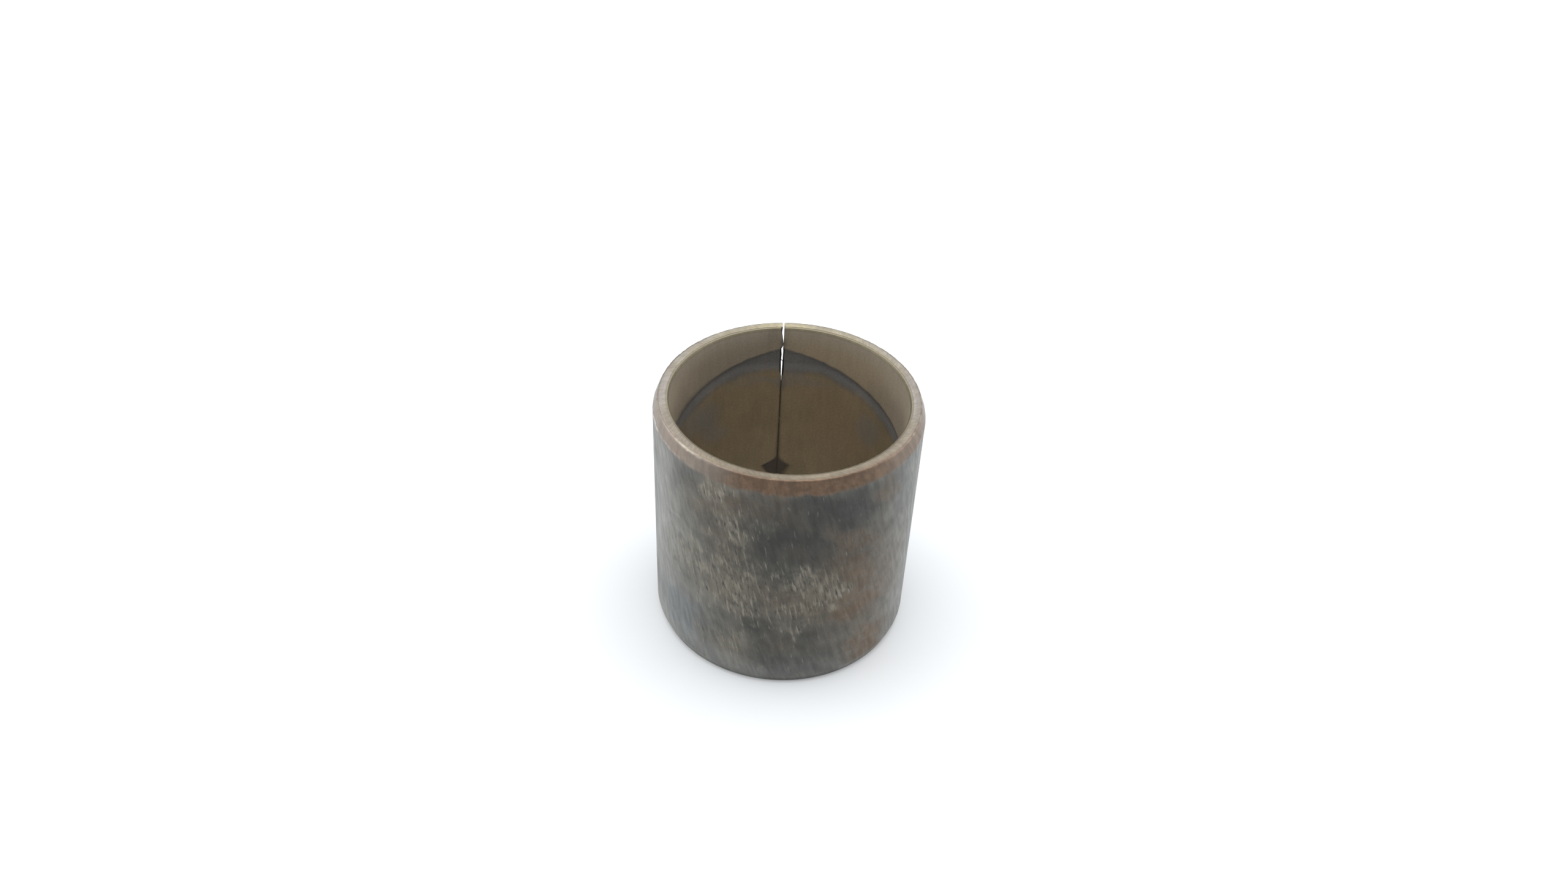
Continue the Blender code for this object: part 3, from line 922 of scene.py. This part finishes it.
def steel_material():
    """Oxidised rolled steel: pale, dark, blue and brown oxide, leaning scuffs, and turned chamfers, with
    painted shade on the front, painted light low down, and a painted sheen and highlight on the chamfer.
    """
    nodes = Nodes("oxidised_steel")
    strip = nodes.strip()
    clouds = nodes.noise(strip, 0.30, 5.0, 0.62)
    mottle = nodes.noise(strip, 1.1, 5.0, 0.68)
    grain = nodes.noise(strip, 8.0, 3.0, 0.7)
    streaks = nodes.noise(nodes.lean(strip, -16.0, (1.9, 0.42)), 1.0, 4.0, 0.56, 0.3)
    fine = nodes.noise(nodes.lean(strip, -13.0, (4.0, 0.66)), 1.0, 2.0, 0.50, 0.1)
    other = nodes.noise(nodes.lean(strip, -15.0, (4.2, 0.85)), 1.13, 2.0, 0.50, 0.1)

    color = nodes.mix(nodes.range(clouds, 0.35, 0.65), *OXIDE)
    color = nodes.tint(color, "pale", OXIDE_PALE)
    blue = nodes.math("MULTIPLY", nodes.attribute("blue"), nodes.range(mottle, 0.2, 0.6, 0.6, 1.0))
    color = nodes.mix(blue, color, OXIDE_BLUE)
    brown = nodes.math("MULTIPLY", nodes.attribute("brown"), nodes.range(mottle, 0.3, 0.62, 0.45, 1.0))
    color = nodes.mix(brown, color, OXIDE_BROWN)
    spared = nodes.math("SUBTRACT", 1.0, nodes.math("MULTIPLY", nodes.attribute("rust"), 0.65))
    dark = nodes.math("MULTIPLY", nodes.attribute("dark"), nodes.range(mottle, 0.2, 0.5, 0.85, 1.0))
    color = nodes.mix(nodes.math("MULTIPLY", dark, spared), color, OXIDE_DARK)

    scuffed = nodes.attribute("scuffed")
    haze = nodes.math("MULTIPLY", scuffed, nodes.range(mottle, 0.32, 0.62, 0.20, 0.80))
    color = nodes.mix(haze, color, SCUFF_HAZE)
    color = nodes.shade(color, streaks, 0.25, 0.75, 0.86, 1.16)
    reach = nodes.math("MULTIPLY", scuffed, 0.27)
    strokes = nodes.range(nodes.math("ADD", fine, reach), 0.66, 1.00)
    color = nodes.mix(strokes, color, SCUFF_STROKE)
    cuts = nodes.range(nodes.math("ADD", other, nodes.math("MULTIPLY", scuffed, 0.19)), 0.70, 0.98)
    color = nodes.mix(cuts, color, SCUFF_CUT)
    # Painted light toward the shell's lower end
    color = nodes.shade(color, nodes.attribute("low"), 0.0, 1.0, 1.02, 1.17)
    # Painted shade, broadest across the front
    color = nodes.shade(color, nodes.attribute("painted_shade"), 0.0, 1.0, 1.0, 0.80)
    color = nodes.shade(color, grain, 0.25, 0.75, 0.90, 1.10)

    turned = nodes.mix(nodes.range(mottle, 0.35, 0.65), *CHAMFER_BROWN)
    # Painted sheen, lighter toward the sides
    turned = nodes.tint(turned, "side", CHAMFER_SIDE_SHEEN)
    turned = nodes.tint(turned, "rubbed", CHAMFER_RUBBED)
    turned = nodes.tint(turned, "rusty", CHAMFER_RUSTY)
    # Painted highlight along the chamfer's foot
    foot = nodes.math("MULTIPLY", nodes.attribute("foot_highlight"), nodes.range(streaks, 0.3, 0.6, 0.2, 1.0))
    turned = nodes.mix(foot, turned, CHAMFER_FOOT_HIGHLIGHT)
    turned = nodes.tint(turned, "ridge_wear_and_highlight", CHAMFER_RIDGE_WEAR_AND_HIGHLIGHT)
    turned = nodes.tint(turned, "edge", EDGE_SHADOW)
    turned = nodes.shade(turned, streaks, 0.25, 0.75, 0.90, 1.10)
    color = nodes.mix(nodes.attribute("chamfer"), color, turned)

    roughness = nodes.range(streaks, 0.2, 0.8, 0.46, 0.36)
    relief = nodes.math("ADD", nodes.math("MULTIPLY", fine, 0.6), nodes.math("MULTIPLY", grain, 0.4))
    nodes.bump(relief, 0.25)
    return nodes.finish(color, roughness, 0.75)


def face_material():
    """A faced steel end: fine turning marks, scratches across it, and bronze smeared near the seam, with
    painted shade on its front and toward its outer edge.
    """
    nodes = Nodes("faced_steel")
    polar = nodes.polar()
    scratches = nodes.noise(nodes.lean(polar, 38.0, (5.0, 1.1)), 1.0, 3.0, 0.6, 0.2)
    columns = nodes.noise(nodes.lean(polar, 0.0, (1.5, 0.4)), 1.0, 3.0, 0.55, 0.2)
    turning = nodes.noise(nodes.stretch(polar, (0.15, 3.0)), 1.0, 3.0, 0.5)
    clouds = nodes.noise(polar, 0.25, 2.0, 0.5)
    color = nodes.mix(nodes.range(clouds, 0.35, 0.65), *FACE)
    # Painted shade at the front
    color = nodes.tint(color, "front_shade", FACE_FRONT_SHADE)
    color = nodes.tint(color, "golden", FACE_GOLDEN)
    color = nodes.tint(color, "edge", EDGE_SHADOW)
    color = nodes.tint(color, "ridge_wear_and_highlight", FACE_RIDGE_WEAR_AND_HIGHLIGHT)
    # Painted shade toward the face's outer edge
    color = nodes.tint(color, "outer_face_shade", FACE_OUTER_SHADE)
    color = nodes.shade(color, turning, 0.25, 0.75, 0.90, 1.10)
    color = nodes.shade(color, columns, 0.25, 0.75, 0.90, 1.10)
    color = nodes.shade(color, scratches, 0.25, 0.75, 0.86, 1.14)
    nodes.bump(scratches, 0.15)
    return nodes.finish(color, nodes.range(scratches, 0.2, 0.8, 0.44, 0.36), 0.8)


def hidden_material():
    """Sheared steel of the seam edges and the shell's inner wall."""
    nodes = Nodes("sheared_steel")
    grain = nodes.noise(nodes.strip(), 3.0, 3.0, 0.6)
    color = nodes.mix(nodes.range(grain, 0.3, 0.7), *SHEARED_STEEL)
    nodes.shader.inputs["Specular IOR Level"].default_value = 0.15
    return nodes.finish(color, nodes.range(grain, 0.2, 0.8, 0.8, 0.7), 0.1)


def bronze_material():
    """Sintered bronze: paler near the ends, olive in the middle, dirt in the oil grooves, and painted shade
    beside the groove, along the seam and on the top bevel.
    """
    nodes = Nodes("sintered_bronze")
    strip = nodes.strip()
    clouds = nodes.noise(strip, 0.25, 3.0, 0.55)
    speckle = nodes.noise(strip, 4.5, 4.0, 0.75)
    wipes = nodes.noise(nodes.lean(strip, 0.0, (1.6, 0.3)), 1.0, 3.0, 0.6)
    cloudy = nodes.range(clouds, 0.3, 0.7)
    color = nodes.mix(cloudy, *BRONZE)
    color = nodes.tint(color, "warm", BRONZE_WARM)
    # The groove's grey fading out, and painted shade on the left
    color = nodes.tint(color, "grey_fade_and_shade", BRONZE_GREY_FADE_AND_SHADE)
    upper = nodes.tint(BRONZE_UPPER_LEFT, "right", BRONZE_UPPER_RIGHT)
    upper = nodes.tint(upper, "flank", BRONZE_FLANK)
    color = nodes.tint(color, "upper", upper)
    color = nodes.tint(color, "high", BRONZE_HIGH)
    # Painted shade on the top bevel
    color = nodes.tint(color, "bevel_shade", BRONZE_BEVEL_SHADE)
    groove = nodes.mix(cloudy, *GROOVE_GREY)
    groove = nodes.tint(groove, "flank", GROOVE_FLANK)
    color = nodes.tint(color, "groove", groove)
    # Painted shade beside the groove
    color = nodes.shade(color, nodes.attribute("painted_shade"), 0.0, 1.0, 1.0, 0.80)
    color = nodes.tint(color, "pocket", POCKET_BROWN)
    color = nodes.tint(color, "smear", SMEAR_GREY)
    # Seam dirt and painted shade
    color = nodes.tint(color, "seam_dirt_and_shade", SEAM_DIRT_AND_SHADE)
    color = nodes.shade(color, speckle, 0.2, 0.8, 0.88, 1.12)
    color = nodes.shade(color, wipes, 0.25, 0.75, 0.96, 1.04)
    nodes.bump(speckle, 0.25)
    return nodes.finish(color, nodes.range(speckle, 0.2, 0.8, 0.58, 0.46), 0.55)


def lip_material():
    """The lining's trimmed end, a shade yellower and duller than the steel beside it, with painted shade on
    its front and on its bevel.
    """
    nodes = Nodes("trimmed_bronze")
    scratches = nodes.noise(nodes.lean(nodes.polar(), 38.0, (5.0, 1.1)), 1.0, 3.0, 0.6, 0.2)
    color = nodes.mix(nodes.range(scratches, 0.25, 0.75), *LIP)
    # Painted shade at the front
    color = nodes.tint(color, "front_shade", LIP_FRONT_SHADE)
    color = nodes.tint(color, "golden", LIP_GOLDEN)
    # Painted shade on the bevel
    color = nodes.tint(color, "bevel_shade", LIP_BEVEL_SHADE)
    nodes.bump(scratches, 0.2)
    return nodes.finish(color, nodes.range(scratches, 0.2, 0.8, 0.48, 0.38), 0.75)


def raw_material():
    """The lining's sheared edges in the seam."""
    nodes = Nodes("sheared_bronze")
    grain = nodes.noise(nodes.strip(), 3.0, 3.0, 0.6)
    color = nodes.mix(nodes.range(grain, 0.3, 0.7), *SHEARED_BRONZE)
    return nodes.finish(color, nodes.range(grain, 0.2, 0.8, 0.6, 0.5), 0.6)


# ---------------------------------------------------------------- stage, light and camera
FLOOR_SIZE = 4.0
FLOOR_PALE, FLOOR_BRIGHT = (0.675, 0.690, 0.703), (0.690, 0.705, 0.718)
WORLD_COLOR = (0.97, 0.985, 1.0, 1.0)
WORLD_STRENGTH = 0.85
LIGHT_TARGET = (0.0, 0.0, 0.01)

# Soft boxes: (name, place in metres, size in metres, watts)
SOFT_BOXES = (
    ("overhead", (0.0, 0.04, 0.40), (0.5, 0.4), 1.65),
    ("left_box", (-0.40, 0.05, 0.18), (0.4, 0.3), 0.8),
    ("right_box", (0.40, 0.05, 0.18), (0.4, 0.3), 0.6),
)


def build_stage():
    bpy.ops.mesh.primitive_plane_add(size=FLOOR_SIZE)
    floor = bpy.context.object
    floor.name = "floor"
    nodes = Nodes("floor_paper")
    position = nodes.add("ShaderNodeTexCoord").outputs["Object"]
    fibre = nodes.noise(position, 60.0, 2.0, 0.5)
    color = nodes.mix(fibre, FLOOR_PALE, FLOOR_BRIGHT)
    floor.data.materials.append(nodes.finish(color, 0.9, 0.0))


def build_light():
    world = bpy.data.worlds.new("studio")
    bpy.context.scene.world = world
    world.use_nodes = True
    background = world.node_tree.nodes["Background"]
    background.inputs["Color"].default_value = WORLD_COLOR
    background.inputs["Strength"].default_value = WORLD_STRENGTH
    for name, place, size, watts in SOFT_BOXES:
        data = bpy.data.lights.new(name, "AREA")
        data.shape = "RECTANGLE"
        data.size, data.size_y = size
        data.energy = watts
        light = bpy.data.objects.new(name, data)
        light.location = place
        light.rotation_euler = (Vector(LIGHT_TARGET) - Vector(place)).to_track_quat("-Z", "Y").to_euler()
        bpy.context.scene.collection.objects.link(light)


CAMERA_AZIMUTH = math.radians(-5.1)
CAMERA_ELEVATION = math.radians(41.204)
CAMERA_ROLL = math.radians(3.115)
CAMERA_PAN = math.radians(0.157)
CAMERA_TILT = math.radians(2.637)
CAMERA_DISTANCE = 121.45 * MM
CAMERA_LENS = 28.64
CAMERA_SENSOR = 36.0
CAMERA_CLIP = (0.005, 20.0)


def build_camera():
    data = bpy.data.cameras.new("camera")
    data.lens = CAMERA_LENS
    data.sensor_width = CAMERA_SENSOR
    data.clip_start, data.clip_end = CAMERA_CLIP
    camera = bpy.data.objects.new("camera", data)
    bpy.context.scene.collection.objects.link(camera)
    back = Vector((
        math.sin(CAMERA_AZIMUTH) * math.cos(CAMERA_ELEVATION),
        -math.cos(CAMERA_AZIMUTH) * math.cos(CAMERA_ELEVATION),
        math.sin(CAMERA_ELEVATION),
    ))
    aim = (-back).to_track_quat("-Z", "Y").to_matrix().to_4x4()
    aim = aim @ Matrix.Rotation(CAMERA_TILT, 4, "X")
    aim = aim @ Matrix.Rotation(CAMERA_PAN, 4, "Y")
    aim = aim @ Matrix.Rotation(CAMERA_ROLL, 4, "Z")
    centre = Vector((0.0, 0.0, LENGTH / 2))
    camera.matrix_world = Matrix.Translation(centre + back * CAMERA_DISTANCE) @ aim
    bpy.context.scene.camera = camera


def main():
    shell = build_shell()
    for material in (steel_material(), face_material(), hidden_material()):
        shell.data.materials.append(material)
    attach(shell, "root")
    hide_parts("steel_backing")

    lining = build_lining()
    for material in (bronze_material(), lip_material(), raw_material()):
        lining.data.materials.append(material)
    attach(lining, "root")
    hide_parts("bronze_lining")

    build_stage()
    build_light()
    build_camera()
    bpy.context.scene.view_settings.view_transform = "Standard"


main()
